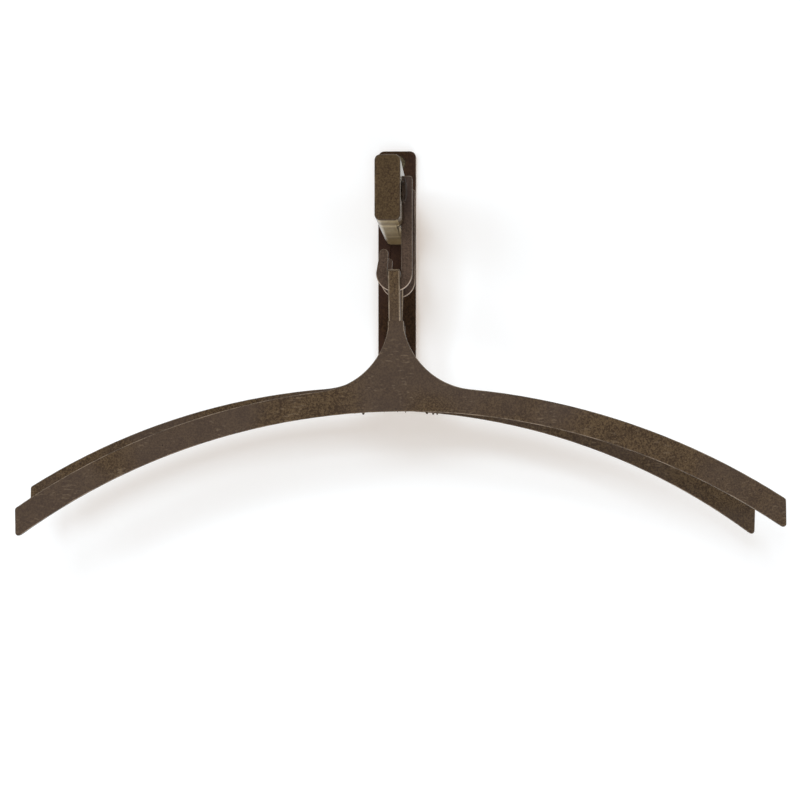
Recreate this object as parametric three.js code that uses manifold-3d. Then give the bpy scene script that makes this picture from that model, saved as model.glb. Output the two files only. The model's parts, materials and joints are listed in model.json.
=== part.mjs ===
// Wall coat rack: a flat steel wall plate, a solid arm that stands out from it,
// two J hooks let into the arm's right side, and two arched steel coat hangers.
// Millimetres, +Z up, +Y into the wall, +X to the right of someone facing the rack.
// The origin is on the wall plate's back face, level with the middle of the arm.

import * as THREE from 'three';
import { mergeVertices } from 'three/addons/utils/BufferGeometryUtils.js';
import Module from 'manifold-3d';

const wasm = await Module();
wasm.setup();

// Clearances: round a pin or in a slot, and between two seated faces
const FIT = 0.3;
const SEAT = 0.1;

// Wall plate and its screws
const PLATE_WIDTH = 25;
const PLATE_HEIGHT = 150;
const PLATE_THICK = 5;
const PLATE_CORNER = 4;
const PLATE_RISE = 24;
const WALL_SCREW_INSET = 8;
const WALL_SCREW_HEAD = 10.6;
const WALL_SCREW_SHANK = 5;
const WALL_SCREW_CONE = 2.9;
const CROSS_LENGTH = 5.2;
const CROSS_WIDTH = 1.2;
const CROSS_DEPTH = 1.6;

// Support arm and its bolts
const ARM_WIDTH = 15;
const ARM_HEIGHT = 38;
const ARM_LENGTH = 160;
const ARM_EDGE = 3.4;
const ARM_END_CHAMFER = 0.5;
const BOLT_SPREAD = 22;
const BOLT_SHANK = 6;
const BOLT_HEAD = 11;
const BOLT_CONE = 2.6;
const BOLT_LENGTH = 20;
const BOLT_SOCKET = 4.6;

// J hooks and their screws
const HOOK_THICK = 4;
const HOOK_SETBACK = 38;
const HOOK_SPACING = 68;
const HOOK_BELOW_ARM_TOP = 8;
const HOOK_LEG = 6.65;
const HOOK_INNER_RADIUS = 4.15;
const HOOK_BELOW_ARM = 27.8;
const HOOK_SHIFT = 2.57;
const HOOK_TIP_RISE = 14.4;
const HOOK_TIP_LEAN = 2.1;
const HOOK_TIP_WIDTH = 5.2;
const HOOK_TIP_ROUND = 2.4;
const HOOK_CORNER = 1.6;
const SLOT_DEPTH = 3.3;
const LUG_HEIGHT = 11;
const LUG_REACH = 25.5;
const LUG_THICK = 1.5;
const HOOK_SCREW_SHANK = 4;
const HOOK_SCREW_HEAD = 14;
const HOOK_SCREW_RISE = 1.8;
const HOOK_SCREW_RIM = 0.4;
const HOOK_SCREW_LENGTH = 12;
const HOOK_SCREW_SOCKET = 3.4;
const HOOK_SCREW_SOCKET_DEPTH = 1.4;

// Hanger neck
const NECK_WIDTH = 7;
const NECK_SLACK = 0.7;
const NECK_TOP = 2.45;
const NECK_SHOULDER = 1.4;
const NECK_EDGE = 0.6;
const NECK_LENGTH = 28.25;
const NECK_LIP_THICK = 3.5;
const NECK_LIP_DROP = 8.85;
const TENON_WIDTH = 4;
const TENON_THICK = 2.4;
const TENON_LENGTH = 7;

// Hanger blade
const BLADE_THICK = 5;
const BLADE_SPAN = 456;
const BLADE_RADIUS = 394.7;
const BLADE_DEPTH = 14.9;
const BLADE_DROP = 81.8;
const BLADE_NECK_WIDTH = 9.3;
const BLADE_NECK_SHIFT = 0.78;
const BLADE_FLARE = 44.7;
const BLADE_FLARE_INSET = 0.7;
const BLADE_CORNER = 1.9;

// How the hangers hang at rest: turned about the upright, and tilted to one side
const FRONT_TURN_DEGREES = -0.4;
const FRONT_TILT_DEGREES = -0.84;
const REAR_TURN_DEGREES = 1.04;
const REAR_TILT_DEGREES = 1.61;

// Curves are cut into chords that stay this close to them
const CHORD = 0.03;
const ROUND_SIDES = 24;

// Sizes that follow from the ones above
const ARM_FRONT = -(PLATE_THICK + ARM_LENGTH);
const ARM_SIDE = ARM_WIDTH / 2;
const ARM_TOP = ARM_HEIGHT / 2;
const PLATE_TOP = ARM_TOP + PLATE_RISE;
const PLATE_BOTTOM = PLATE_TOP - PLATE_HEIGHT;
const WALL_SCREW_UPPER_Z = PLATE_TOP - WALL_SCREW_INSET;
const WALL_SCREW_LOWER_Z = PLATE_BOTTOM + WALL_SCREW_INSET;
const BOLT_UPPER_Z = BOLT_SPREAD / 2;
const BOLT_LOWER_Z = -BOLT_SPREAD / 2;
const HOOK_TOP = ARM_TOP - HOOK_BELOW_ARM_TOP;
const HOOK_CENTRE_Z = -ARM_TOP - HOOK_BELOW_ARM;
const HOOK_OUTER_RADIUS = HOOK_INNER_RADIUS + HOOK_LEG;
const HOOK_FRONT_Y = ARM_FRONT + HOOK_SETBACK;
const HOOK_REAR_Y = HOOK_FRONT_Y + HOOK_SPACING;
const LUG_ROUND = LUG_HEIGHT / 2;
const LUG_HOLE_Y = LUG_ROUND - LUG_REACH - HOOK_THICK / 2;
const LUG_FACE = ARM_SIDE + SEAT + LUG_THICK;
const HOOK_SCREW_TIP = LUG_FACE + SEAT - HOOK_SCREW_LENGTH;
const BRIDGE_RADIUS = NECK_WIDTH / 2;
const PIVOT_Z = HOOK_CENTRE_Z - (HOOK_INNER_RADIUS - BRIDGE_RADIUS - FIT);
const NECK_SLOT = HOOK_THICK / 2 + NECK_SLACK;
const NECK_FRONT = -NECK_SLOT - BLADE_THICK;
const NECK_BACK = NECK_SLOT + NECK_LIP_THICK;

const INTO_WALL = new THREE.Vector3(0, 1, 0);
const OUT_OF_WALL = new THREE.Vector3(0, -1, 0);
const TO_THE_LEFT = new THREE.Vector3(-1, 0, 0);
const QUARTER = Math.PI / 2;

const BROWNED_STEEL = { color: 0x4e4133, roughness: 0.5, metalness: 0.85 };
const DARK_STEEL = { color: 0x3a2c22, roughness: 0.5, metalness: 0.85 };
const BLACKED_STEEL = { color: 0x1f1b18, roughness: 0.45, metalness: 0.8 };

/** Turns a closed geometry into a solid that can be joined and cut. */
function solid(geometry) {
  geometry.deleteAttribute('normal');
  geometry.deleteAttribute('uv');
  const merged = mergeVertices(geometry, 1e-4);
  const mesh = new wasm.Mesh({
    numProp: 3,
    vertProperties: new Float32Array(merged.attributes.position.array),
    triVerts: new Uint32Array(merged.index.array),
  });
  return new wasm.Manifold(mesh);
}

/** Adds a solid to a group as a named mesh with its own material. */
function addPart(parent, name, body, finish) {
  const mesh = body.getMesh();
  const geometry = new THREE.BufferGeometry();
  geometry.setAttribute('position', new THREE.BufferAttribute(mesh.vertProperties, 3));
  geometry.setIndex(new THREE.BufferAttribute(mesh.triVerts, 1));
  geometry.computeVertexNormals();
  const part = new THREE.Mesh(geometry, new THREE.MeshStandardMaterial(finish));
  part.name = name;
  parent.add(part);
}

/** A point of an outline. */
function point(across, up) {
  return new THREE.Vector2(across, up);
}

/** The points of an arc, anticlockwise where the end angle is above the start angle. */
function arc(across, up, radius, start, end) {
  const widest = 2 * Math.acos(1 - CHORD / radius);
  const steps = Math.ceil(Math.abs(end - start) / widest);
  const points = [];
  for (let i = 0; i <= steps; i += 1) {
    const angle = start + ((end - start) * i) / steps;
    points.push(point(across + radius * Math.cos(angle), up + radius * Math.sin(angle)));
  }
  return points;
}

/** A closed outline from points, with any point that repeats the one before it left out. */
function outline(points) {
  const kept = points.filter((p, i) => i === 0 || p.distanceTo(points[i - 1]) > 1e-3);
  return new THREE.Shape(kept);
}

/** A rectangle outline with round corners. */
function roundedRectangle(left, bottom, right, top, radius) {
  return outline([
    ...arc(right - radius, bottom + radius, radius, -QUARTER, 0),
    ...arc(right - radius, top - radius, radius, 0, QUARTER),
    ...arc(left + radius, top - radius, radius, QUARTER, 2 * QUARTER),
    ...arc(left + radius, bottom + radius, radius, 2 * QUARTER, 3 * QUARTER),
  ]);
}

/** Extrudes an outline drawn in X and Z, from its back to its front. */
function facing(shape, back, front, chamfer = 0) {
  const geometry = new THREE.ExtrudeGeometry(shape, {
    depth: back - front - 2 * chamfer,
    bevelEnabled: chamfer > 0,
    bevelThickness: chamfer,
    bevelSize: chamfer,
    bevelOffset: -chamfer,
    bevelSegments: 1,
  });
  geometry.rotateX(QUARTER);
  geometry.translate(0, back - chamfer, 0);
  return solid(geometry);
}

/** Extrudes an outline drawn in Y and Z, from its left to its right. */
function sideways(shape, left, right) {
  const geometry = new THREE.ExtrudeGeometry(shape, { depth: right - left, bevelEnabled: false });
  geometry.rotateX(QUARTER);
  geometry.rotateZ(QUARTER);
  geometry.translate(left, 0, 0);
  return solid(geometry);
}

/** A box between two corners. */
function block(low, high) {
  const geometry = new THREE.BoxGeometry(high[0] - low[0], high[1] - low[1], high[2] - low[2]);
  geometry.translate((low[0] + high[0]) / 2, (low[1] + high[1]) / 2, (low[2] + high[2]) / 2);
  return solid(geometry);
}

/** A turned body from pairs of radius and distance along its axis. */
function turned(profile, start, direction, sides = ROUND_SIDES) {
  const geometry = new THREE.LatheGeometry(profile.map(([radius, along]) => point(radius, along)), sides);
  const axis = new THREE.Vector3(0, 1, 0);
  geometry.applyQuaternion(new THREE.Quaternion().setFromUnitVectors(axis, direction));
  geometry.translate(start[0], start[1], start[2]);
  return solid(geometry);
}

/** The profile of a plain round pin. */
function pin(radius, length) {
  return [[0, 0], [radius, 0], [radius, length], [0, length]];
}

/** The profile of a countersunk screw, or of its hole where it is grown by a clearance. */
function countersunk(head, shank, cone, length, grow = 0) {
  return [
    [0, -grow],
    [head / 2 + grow, -grow],
    [head / 2 + grow, grow],
    [shank / 2 + grow, cone + grow],
    [shank / 2 + grow, length + grow],
    [0, length + grow],
  ];
}

/** Wall plate, countersunk in front for the wall screws and behind for the arm's bolts. */
function wallPlate() {
  const half = PLATE_WIDTH / 2;
  let plate = facing(roundedRectangle(-half, PLATE_BOTTOM, half, PLATE_TOP, PLATE_CORNER), 0, -PLATE_THICK);
  const screwHole = countersunk(WALL_SCREW_HEAD, WALL_SCREW_SHANK, WALL_SCREW_CONE, PLATE_THICK, FIT);
  for (const z of [WALL_SCREW_UPPER_Z, WALL_SCREW_LOWER_Z]) {
    plate = plate.subtract(turned(screwHole, [0, -PLATE_THICK + SEAT, z], INTO_WALL));
  }
  const boltHole = countersunk(BOLT_HEAD, BOLT_SHANK, BOLT_CONE, PLATE_THICK, FIT);
  for (const z of [BOLT_UPPER_Z, BOLT_LOWER_Z]) {
    plate = plate.subtract(turned(boltHole, [0, -SEAT, z], OUT_OF_WALL));
  }
  return plate;
}

/** Cross-head wall screw, cut off level with the plate's back face. */
function wallScrew(z) {
  const front = -PLATE_THICK + SEAT;
  const profile = countersunk(WALL_SCREW_HEAD, WALL_SCREW_SHANK, WALL_SCREW_CONE, PLATE_THICK - 2 * SEAT);
  const long = CROSS_LENGTH / 2;
  const thin = CROSS_WIDTH / 2;
  const level = block([-long, front - FIT, z - thin], [long, front + CROSS_DEPTH, z + thin]);
  const plumb = block([-thin, front - FIT, z - long], [thin, front + CROSS_DEPTH, z + long]);
  return turned(profile, [0, front, z], INTO_WALL).subtract(level.add(plumb));
}

/** Support arm, slotted for the hooks and drilled for its bolts and the hooks' screws. */
function supportArm() {
  const section = roundedRectangle(-ARM_SIDE, -ARM_TOP, ARM_SIDE, ARM_TOP, ARM_EDGE);
  let arm = facing(section, -PLATE_THICK, ARM_FRONT, ARM_END_CHAMFER);
  const boltHole = pin(BOLT_SHANK / 2 + FIT, BOLT_LENGTH + SEAT + FIT);
  for (const z of [BOLT_UPPER_Z, BOLT_LOWER_Z]) {
    arm = arm.subtract(turned(boltHole, [0, 0, z], OUT_OF_WALL));
  }
  const half = HOOK_THICK / 2 + FIT;
  const screwHole = pin(HOOK_SCREW_SHANK / 2 + FIT, LUG_FACE - HOOK_SCREW_TIP + FIT);
  for (const y of [HOOK_FRONT_Y, HOOK_REAR_Y]) {
    const low = [ARM_SIDE - SLOT_DEPTH, y - half, -ARM_TOP - 1];
    const high = [ARM_SIDE + 1, y + half, HOOK_TOP + FIT];
    arm = arm.subtract(block(low, high));
    arm = arm.subtract(turned(screwHole, [LUG_FACE, y + LUG_HOLE_Y, 0], TO_THE_LEFT));
  }
  return arm;
}

/** Socket-head bolt that holds the arm, put in from the plate's back. */
function armBolt(z) {
  const profile = countersunk(BOLT_HEAD, BOLT_SHANK, BOLT_CONE, BOLT_LENGTH);
  const socket = turned(pin(BOLT_SOCKET / 2, BOLT_CONE + 1), [0, 1, z], OUT_OF_WALL, 6);
  return turned(profile, [0, -SEAT, z], OUT_OF_WALL).subtract(socket);
}

/** Outline of a J hook: a long leg with a tongue for the arm's slot, and a short leg that leans in. */
function hookOutline() {
  const tongueLeft = ARM_SIDE - SLOT_DEPTH + FIT;
  const legLeft = HOOK_SHIFT + HOOK_INNER_RADIUS;
  const legRight = HOOK_SHIFT + HOOK_OUTER_RADIUS;
  const tipLeft = HOOK_SHIFT - HOOK_OUTER_RADIUS + HOOK_TIP_LEAN;
  const tipRight = tipLeft + HOOK_TIP_WIDTH;
  const tipZ = HOOK_CENTRE_Z + HOOK_TIP_RISE - HOOK_TIP_ROUND;
  return outline([
    point(tongueLeft, HOOK_TOP),
    point(tongueLeft, -ARM_TOP + SLOT_DEPTH),
    point(legLeft, -ARM_TOP + FIT),
    ...arc(HOOK_SHIFT, HOOK_CENTRE_Z, HOOK_INNER_RADIUS, 0, -2 * QUARTER),
    ...arc(tipRight - HOOK_TIP_ROUND, tipZ, HOOK_TIP_ROUND, 0, QUARTER),
    ...arc(tipLeft + HOOK_TIP_ROUND, tipZ, HOOK_TIP_ROUND, QUARTER, 2 * QUARTER),
    ...arc(HOOK_SHIFT, HOOK_CENTRE_Z, HOOK_OUTER_RADIUS, 2 * QUARTER, 4 * QUARTER),
    ...arc(legRight - HOOK_CORNER, HOOK_TOP - HOOK_CORNER, HOOK_CORNER, 0, QUARTER),
  ]);
}

/** J hook, with a drilled lug turned forward along the arm's side. */
function hook(y) {
  const plate = facing(hookOutline(), y + HOOK_THICK / 2, y - HOOK_THICK / 2);
  const lugOutline = outline([
    point(y + HOOK_THICK / 2, -LUG_ROUND),
    point(y + HOOK_THICK / 2, LUG_ROUND),
    ...arc(y + LUG_HOLE_Y, 0, LUG_ROUND, QUARTER, 3 * QUARTER),
  ]);
  const lug = sideways(lugOutline, ARM_SIDE + SEAT, LUG_FACE);
  const hole = pin(HOOK_SCREW_SHANK / 2 + FIT, LUG_THICK + 2 * FIT);
  return plate.add(lug).subtract(turned(hole, [LUG_FACE + FIT, y + LUG_HOLE_Y, 0], TO_THE_LEFT));
}

/** Screw with a wide domed head that holds a hook's lug to the arm. */
function hookScrew(y) {
  const rim = HOOK_SCREW_HEAD / 2;
  const top = LUG_FACE + SEAT + HOOK_SCREW_RISE;
  const crown = HOOK_SCREW_RISE - HOOK_SCREW_RIM;
  const ball = (rim ** 2 + crown ** 2) / (2 * crown);
  const edge = Math.asin(rim / ball);
  const dome = arc(0, ball, ball, -QUARTER, edge - QUARTER).map((p) => [p.x, p.y]);
  dome[0] = [0, 0];
  const profile = [
    ...dome,
    [rim, HOOK_SCREW_RISE],
    [HOOK_SCREW_SHANK / 2, HOOK_SCREW_RISE],
    [HOOK_SCREW_SHANK / 2, top - HOOK_SCREW_TIP],
    [0, top - HOOK_SCREW_TIP],
  ];
  const hole = pin(HOOK_SCREW_SOCKET / 2, HOOK_SCREW_SOCKET_DEPTH + SEAT);
  const socket = turned(hole, [top + SEAT, y + LUG_HOLE_Y, 0], TO_THE_LEFT, 6);
  return turned(profile, [top, y + LUG_HOLE_Y, 0], TO_THE_LEFT).subtract(socket);
}

/** The neck's tenon, or the blade's mortise for it where it is grown by a clearance. */
function tenon(grow = 0) {
  const x = TENON_WIDTH / 2 + grow;
  const y = TENON_THICK / 2 + grow;
  const middle = (NECK_FRONT - NECK_SLOT) / 2;
  const bottom = -NECK_LENGTH - TENON_LENGTH - grow;
  return block([-x, middle - y, bottom], [x, middle + y, -NECK_LENGTH + 1]);
}

/**
 * Hanger neck: a flat bar bent over the hook, with a lip behind it. It is made in the
 * hanger's own frame, whose origin is the centre of the bridge's round underside.
 */
function hangerNeck() {
  const bend = NECK_SHOULDER;
  const edge = NECK_EDGE;
  const bar = outline([
    point(NECK_FRONT, -NECK_LENGTH),
    point(-NECK_SLOT, -NECK_LENGTH),
    point(-NECK_SLOT, -BRIDGE_RADIUS),
    point(NECK_SLOT, -BRIDGE_RADIUS),
    point(NECK_SLOT, -NECK_LIP_DROP),
    ...arc(NECK_BACK - edge, -NECK_LIP_DROP + edge, edge, -QUARTER, 0),
    ...arc(NECK_BACK - bend, NECK_TOP - bend, bend, 0, QUARTER),
    ...arc(NECK_FRONT + bend, NECK_TOP - bend, bend, QUARTER, 2 * QUARTER),
  ]);
  const face = outline([
    point(-BRIDGE_RADIUS, -NECK_LENGTH - 1),
    point(BRIDGE_RADIUS, -NECK_LENGTH - 1),
    ...arc(BRIDGE_RADIUS - edge, NECK_TOP - edge, edge, 0, QUARTER),
    ...arc(edge - BRIDGE_RADIUS, NECK_TOP - edge, edge, QUARTER, 2 * QUARTER),
  ]);
  const reach = BRIDGE_RADIUS + 1;
  const underBridge = outline([
    point(-reach, -reach),
    point(reach, -reach),
    point(reach, 0),
    ...arc(0, 0, BRIDGE_RADIUS, 0, -2 * QUARTER),
    point(-reach, 0),
  ]);
  return sideways(bar, -BRIDGE_RADIUS, BRIDGE_RADIUS)
    .intersect(facing(face, NECK_BACK + 1, NECK_FRONT - 1))
    .subtract(facing(underBridge, NECK_SLOT, -NECK_SLOT))
    .add(tenon());
}

/** The arc that leads from one side of the neck into the blade's top edge. */
function flareArc(side, centreZ, topRadius) {
  const neckSide = BLADE_NECK_WIDTH / 2 - BLADE_FLARE_INSET;
  const across = BLADE_NECK_SHIFT + side * (neckSide + BLADE_FLARE);
  const rise = Math.sqrt((topRadius + BLADE_FLARE) ** 2 - across ** 2);
  const start = Math.acos(1 - BLADE_FLARE_INSET / BLADE_FLARE);
  return { across, up: centreZ + rise, start, meets: Math.atan2(rise, across) };
}

/** Outline of a hanger blade: a band between two arcs of one centre, and a neck that flares into it. */
function bladeOutline() {
  const half = 2 * QUARTER;
  const centreZ = -BLADE_DROP - BLADE_RADIUS;
  const topRadius = BLADE_RADIUS + BLADE_DEPTH;
  const neckTop = -NECK_LENGTH - SEAT;
  const left = flareArc(-1, centreZ, topRadius);
  const right = flareArc(1, centreZ, topRadius);
  const tip = BLADE_SPAN / 2 - BLADE_CORNER;
  const topRise = Math.sqrt((topRadius - BLADE_CORNER) ** 2 - tip ** 2);
  const bottomRise = Math.sqrt((BLADE_RADIUS + BLADE_CORNER) ** 2 - tip ** 2);
  const topAngle = Math.atan2(topRise, tip);
  const bottomAngle = Math.atan2(bottomRise, tip);
  return outline([
    point(BLADE_NECK_SHIFT - BLADE_NECK_WIDTH / 2, neckTop),
    ...arc(left.across, left.up, BLADE_FLARE, -left.start, left.meets - half),
    ...arc(0, centreZ, topRadius, left.meets, half - topAngle),
    ...arc(-tip, centreZ + topRise, BLADE_CORNER, half - topAngle, half),
    ...arc(-tip, centreZ + bottomRise, BLADE_CORNER, half, 2 * half - bottomAngle),
    ...arc(0, centreZ, BLADE_RADIUS, half - bottomAngle, bottomAngle),
    ...arc(tip, centreZ + bottomRise, BLADE_CORNER, bottomAngle - half, 0),
    ...arc(tip, centreZ + topRise, BLADE_CORNER, 0, topAngle),
    ...arc(0, centreZ, topRadius, topAngle, right.meets),
    ...arc(right.across, right.up, BLADE_FLARE, half + right.meets, half + right.start),
    point(BLADE_NECK_SHIFT + BLADE_NECK_WIDTH / 2, neckTop),
  ]);
}

/** Hanger blade: an arched plate whose front is level with the neck's. */
function hangerBlade() {
  return facing(bladeOutline(), -NECK_SLOT, NECK_FRONT).subtract(tenon(FIT));
}

/** One hanger on its hook, turned and tilted about the axis that it swings on. */
function hanger(end, y, turn, tilt) {
  const swing = new THREE.Group();
  swing.position.set(HOOK_SHIFT, y, PIVOT_Z);
  swing.rotation.y = THREE.MathUtils.degToRad(tilt);
  const pieces = new THREE.Group();
  pieces.rotation.z = THREE.MathUtils.degToRad(turn);
  addPart(pieces, `hanger_neck_${end}`, hangerNeck(), BROWNED_STEEL);
  addPart(pieces, `hanger_blade_${end}`, hangerBlade(), BROWNED_STEEL);
  swing.add(pieces);
  return swing;
}

const rack = new THREE.Group();
addPart(rack, 'wall_plate', wallPlate(), DARK_STEEL);
addPart(rack, 'wall_screw_upper', wallScrew(WALL_SCREW_UPPER_Z), BLACKED_STEEL);
addPart(rack, 'wall_screw_lower', wallScrew(WALL_SCREW_LOWER_Z), BLACKED_STEEL);
addPart(rack, 'support_arm', supportArm(), BROWNED_STEEL);
addPart(rack, 'arm_bolt_upper', armBolt(BOLT_UPPER_Z), BLACKED_STEEL);
addPart(rack, 'arm_bolt_lower', armBolt(BOLT_LOWER_Z), BLACKED_STEEL);
addPart(rack, 'hook_front', hook(HOOK_FRONT_Y), BROWNED_STEEL);
addPart(rack, 'hook_rear', hook(HOOK_REAR_Y), BROWNED_STEEL);
addPart(rack, 'hook_screw_front', hookScrew(HOOK_FRONT_Y), BLACKED_STEEL);
addPart(rack, 'hook_screw_rear', hookScrew(HOOK_REAR_Y), BLACKED_STEEL);
rack.add(hanger('front', HOOK_FRONT_Y, FRONT_TURN_DEGREES, FRONT_TILT_DEGREES));
rack.add(hanger('rear', HOOK_REAR_Y, REAR_TURN_DEGREES, REAR_TILT_DEGREES));

export default rack;
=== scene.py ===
"""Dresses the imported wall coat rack: a browned steel plate and arm, J hooks and two arched hangers.

The scene is in metres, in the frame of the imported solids: +Z is up, +Y goes into the wall, and the
origin is on the wall plate's back face, level with the middle of the arm. Fields that give lengths
and angles are in millimetres and degrees, unless their class says otherwise.
"""

from __future__ import annotations

import json
import logging
import math
from dataclasses import dataclass
from enum import Enum, IntEnum
from typing import Any, Sequence, Union

import bmesh
import bpy
from mathutils import Matrix, Vector

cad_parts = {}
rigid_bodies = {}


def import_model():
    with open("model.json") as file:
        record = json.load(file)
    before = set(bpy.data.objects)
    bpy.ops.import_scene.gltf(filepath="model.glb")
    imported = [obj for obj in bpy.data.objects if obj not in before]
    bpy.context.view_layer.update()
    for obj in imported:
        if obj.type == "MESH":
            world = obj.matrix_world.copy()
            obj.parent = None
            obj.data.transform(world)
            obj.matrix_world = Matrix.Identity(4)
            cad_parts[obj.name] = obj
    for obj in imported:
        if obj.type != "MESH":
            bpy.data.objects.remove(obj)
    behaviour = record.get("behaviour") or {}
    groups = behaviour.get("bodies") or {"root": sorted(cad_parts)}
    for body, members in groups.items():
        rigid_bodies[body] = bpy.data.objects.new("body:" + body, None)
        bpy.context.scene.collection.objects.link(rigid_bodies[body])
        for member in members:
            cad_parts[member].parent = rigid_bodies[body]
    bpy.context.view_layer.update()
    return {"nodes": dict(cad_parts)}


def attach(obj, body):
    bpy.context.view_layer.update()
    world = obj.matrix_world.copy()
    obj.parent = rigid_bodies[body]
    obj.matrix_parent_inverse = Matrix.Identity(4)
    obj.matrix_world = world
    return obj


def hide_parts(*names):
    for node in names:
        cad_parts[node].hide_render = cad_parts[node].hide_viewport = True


LOG = logging.getLogger("coat_rack")
MM = 0.001
UPRIGHT = Matrix.Rotation(math.pi / 2, 4, "X")

# How near two points are that count as one, and how many faces an eased edge has across it.
TOUCHING = 0.001 * MM
EASE_STEPS = 2

# The turn between two faces at which their edge counts as sharp, as creased, and as flat.
SHARP = math.radians(28)
CREASE = math.radians(32)
FLAT = math.radians(0.2)

# How fine each mark of a finish is, in cells to the metre.
BLOTCH, CLOUD, GRAIN, DUST = 110, 16, 860, 1700
PIT, PITTED_PATCH = 240, 85
UNDERSIDE_BAND, CUT_LINE = 52, 1500
STROKE, STROKED_PATCH = 1000, 60
RUB_PATCH, RUB_GRAIN = 70, 900

# How much each finer noise adds to the one before it.
NOISE_ROUGHNESS = 0.55

# Where along the arm the painted shade on its underside is deepest, by the wall, and where it has faded out, at
# the front end.
UNDERSIDE_SHADE_DEEPEST, UNDERSIDE_SHADE_GONE = -30, -160

Colour = tuple[float, float, float, float]
Triple = tuple[float, float, float]
Operand = Union["Number", float]


def paint(red: int, green: int, blue: int) -> Colour:
    """Turns a display colour into the linear colour that a shader takes.

    Args:
        red: Red, from 0 to 255.
        green: Green, from 0 to 255.
        blue: Blue, from 0 to 255.

    Returns:
        The linear colour, with an alpha of 1.
    """

    def linear(value: int) -> float:
        """Undoes the display curve for one channel."""
        share = value / 255
        return share / 12.92 if share <= 0.04045 else ((share + 0.055) / 1.055) ** 2.4

    return (linear(red), linear(green), linear(blue), 1.0)


class Number:
    """A socket that carries one number and takes part in Python arithmetic."""

    def __init__(self, graph: Graph, socket: bpy.types.NodeSocket) -> None:
        """Keeps the socket and the graph that its Math nodes go into."""
        self.graph = graph
        self.socket = socket

    def __add__(self, other: Operand) -> Number:
        """Adds a number or another socket."""
        return self.graph.math("ADD", self, other)

    def __sub__(self, other: Operand) -> Number:
        """Takes away a number or another socket."""
        return self.graph.math("SUBTRACT", self, other)

    def __mul__(self, other: Operand) -> Number:
        """Multiplies by a number or another socket."""
        return self.graph.math("MULTIPLY", self, other)

    def __rsub__(self, other: float) -> Number:
        """Takes this socket away from a number."""
        return self.graph.math("SUBTRACT", other, self)

    def __abs__(self) -> Number:
        """Gives the size without the sign."""
        return self.graph.math("ABSOLUTE", self)

    __radd__ = __add__
    __rmul__ = __mul__

    def step(self, low: float, high: float) -> Number:
        """Rises smoothly from 0 to 1 between two values, or falls where the first is the larger.

        Args:
            low: The value that gives 0.
            high: The value that gives 1.

        Returns:
            The smooth step.
        """
        settings = {"interpolation_type": "SMOOTHSTEP"}
        inputs = {"Value": self, "From Min": low, "From Max": high}
        if low > high:
            inputs = {"Value": self, "From Min": high, "From Max": low, "To Min": 1.0, "To Max": 0.0}
        return Number(self.graph, self.graph.node("ShaderNodeMapRange", settings, inputs).outputs["Result"])


class Graph:
    """Builds one node tree, of a material, the world or a modifier."""

    def __init__(self, tree: bpy.types.NodeTree) -> None:
        """Starts from an empty tree."""
        self.tree = tree
        tree.nodes.clear()

    def node(
        self, kind: str, settings: dict[str, Any] | None = None, inputs: dict[Any, Any] | None = None
    ) -> bpy.types.Node:
        """Adds a node.

        Args:
            kind: The node's type.
            settings: The node's own settings, which are set first.
            inputs: Values or links, by the name or the index of the socket.

        Returns:
            The new node.
        """
        node = self.tree.nodes.new(kind)
        for name, value in (settings or {}).items():
            setattr(node, name, value)
        for key, value in (inputs or {}).items():
            socket = node.inputs[key]
            if isinstance(value, Number):
                value = value.socket
            if isinstance(value, bpy.types.NodeSocket):
                self.tree.links.new(value, socket)
            else:
                socket.default_value = value
        return node

    def math(self, operation: str, *operands: Operand) -> Number:
        """Adds a Math node and gives its result."""
        node = self.node("ShaderNodeMath", {"operation": operation}, dict(enumerate(operands)))
        return Number(self, node.outputs[0])

    def mix(self, factor: Operand, first: Any, second: Any) -> bpy.types.NodeSocket:
        """Mixes two colours.

        Args:
            factor: 0 for the first colour, 1 for the second.
            first: A colour or a colour socket.
            second: A colour or a colour socket.

        Returns:
            The mixed colour's socket.
        """
        inputs = {0: factor, 6: first, 7: second}
        return self.node("ShaderNodeMix", {"data_type": "RGBA"}, inputs).outputs[2]

    def place(self) -> bpy.types.NodeSocket:
        """Gives the place on the piece, in metres in the rack's frame."""
        return self.node("ShaderNodeTexCoord").outputs["Object"]

    def axis(self, vector: bpy.types.NodeSocket, name: str) -> Number:
        """Takes one axis of a vector."""
        return Number(self, self.node("ShaderNodeSeparateXYZ", None, {0: vector}).outputs[name])

    def seen(self) -> Number:
        """Gives 1 to the camera and in reflections, and 0 to other rays."""
        path = self.node("ShaderNodeLightPath").outputs
        return self.math("MAXIMUM", Number(self, path["Is Camera Ray"]), Number(self, path["Is Glossy Ray"]))

    def noise(
        self, place: bpy.types.NodeSocket, scale: float, detail: float, stretch: Sequence[float] = (1, 1, 1)
    ) -> Number:
        """Adds a noise.

        Args:
            place: Where on the piece.
            scale: How fine it is, in cells to the metre.
            detail: How many finer noises it carries.
            stretch: How much of each direction counts; a small share draws it out that way.

        Returns:
            The noise, about 0.5 on the average.
        """
        if tuple(stretch) != (1, 1, 1):
            place = self.node("ShaderNodeMapping", None, {"Vector": place, "Scale": stretch}).outputs[0]
        inputs = {"Vector": place, "Scale": scale, "Detail": detail, "Roughness": NOISE_ROUGHNESS}
        return Number(self, self.node("ShaderNodeTexNoise", None, inputs).outputs[0])

    def finish_copies(self, copies: bpy.types.Node, material: bpy.types.NodeSocket) -> None:
        """Makes a tree's copies plain mesh, gives them their material and ends the tree.

        Args:
            copies: The node that sets out the copies.
            material: The socket that carries their material.
        """
        real = self.node("GeometryNodeRealizeInstances", None, {0: copies.outputs[0]})
        inputs = {"Geometry": real.outputs[0], "Material": material}
        dressed = self.node("GeometryNodeSetMaterial", None, inputs)
        self.node("NodeGroupOutput", None, {0: dressed.outputs[0]})


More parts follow.
